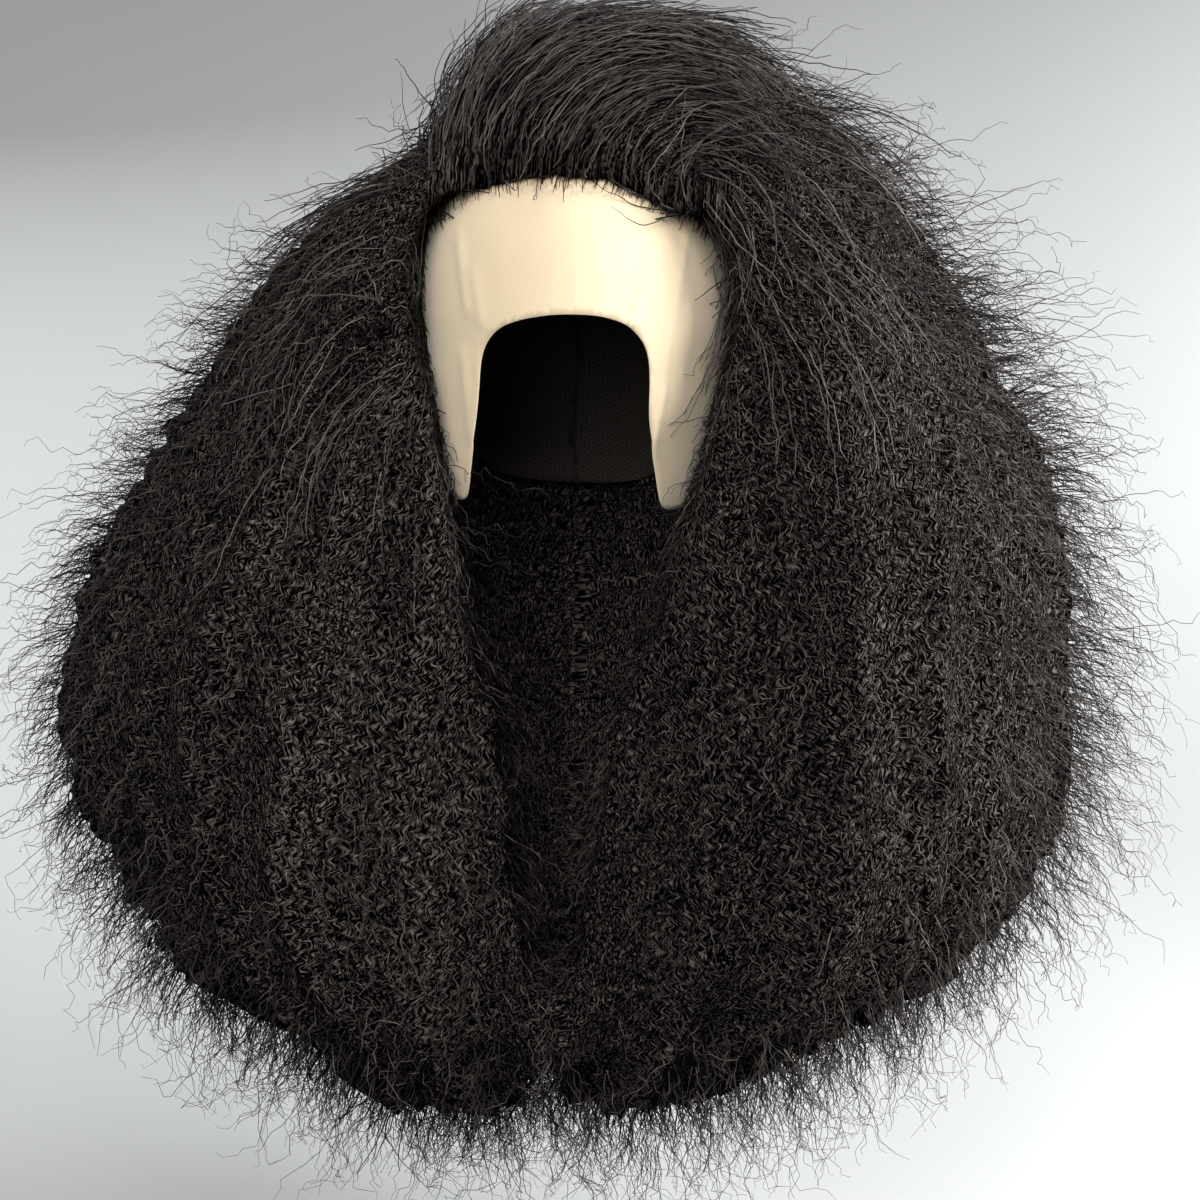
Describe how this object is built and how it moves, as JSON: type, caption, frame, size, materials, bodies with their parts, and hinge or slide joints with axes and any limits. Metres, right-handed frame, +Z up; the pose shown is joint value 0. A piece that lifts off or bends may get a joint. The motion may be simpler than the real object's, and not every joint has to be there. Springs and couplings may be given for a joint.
{
  "type": "lace front wig",
  "caption": "Full frizzy kinky-straight wig, swept over from a side parting, knotted to an untrimmed lace front and sewn to a hollow net cap.",
  "frame": {"origin": "the crown on the inside of the cap, where the wig sits on the top of the head", "axes": "+Z up along the head, -Y the way the face looks, +X towards the wearer's left ear, which is the viewer's right"},
  "size_m": [0.5984, 0.3568, 0.595],
  "materials": {
    "lace": "sheer fine net, matte",
    "cap_net": "stretch net with sewn rows, matte",
    "hair": "crimped off-black strands, soft sheen"
  },
  "bodies": {
    "root": {"lace_front": "lace", "cap": "cap_net", "front_hair": "hair", "left_hair": "hair", "right_hair": "hair", "back_hair": "hair"}
  },
  "joints": []
}
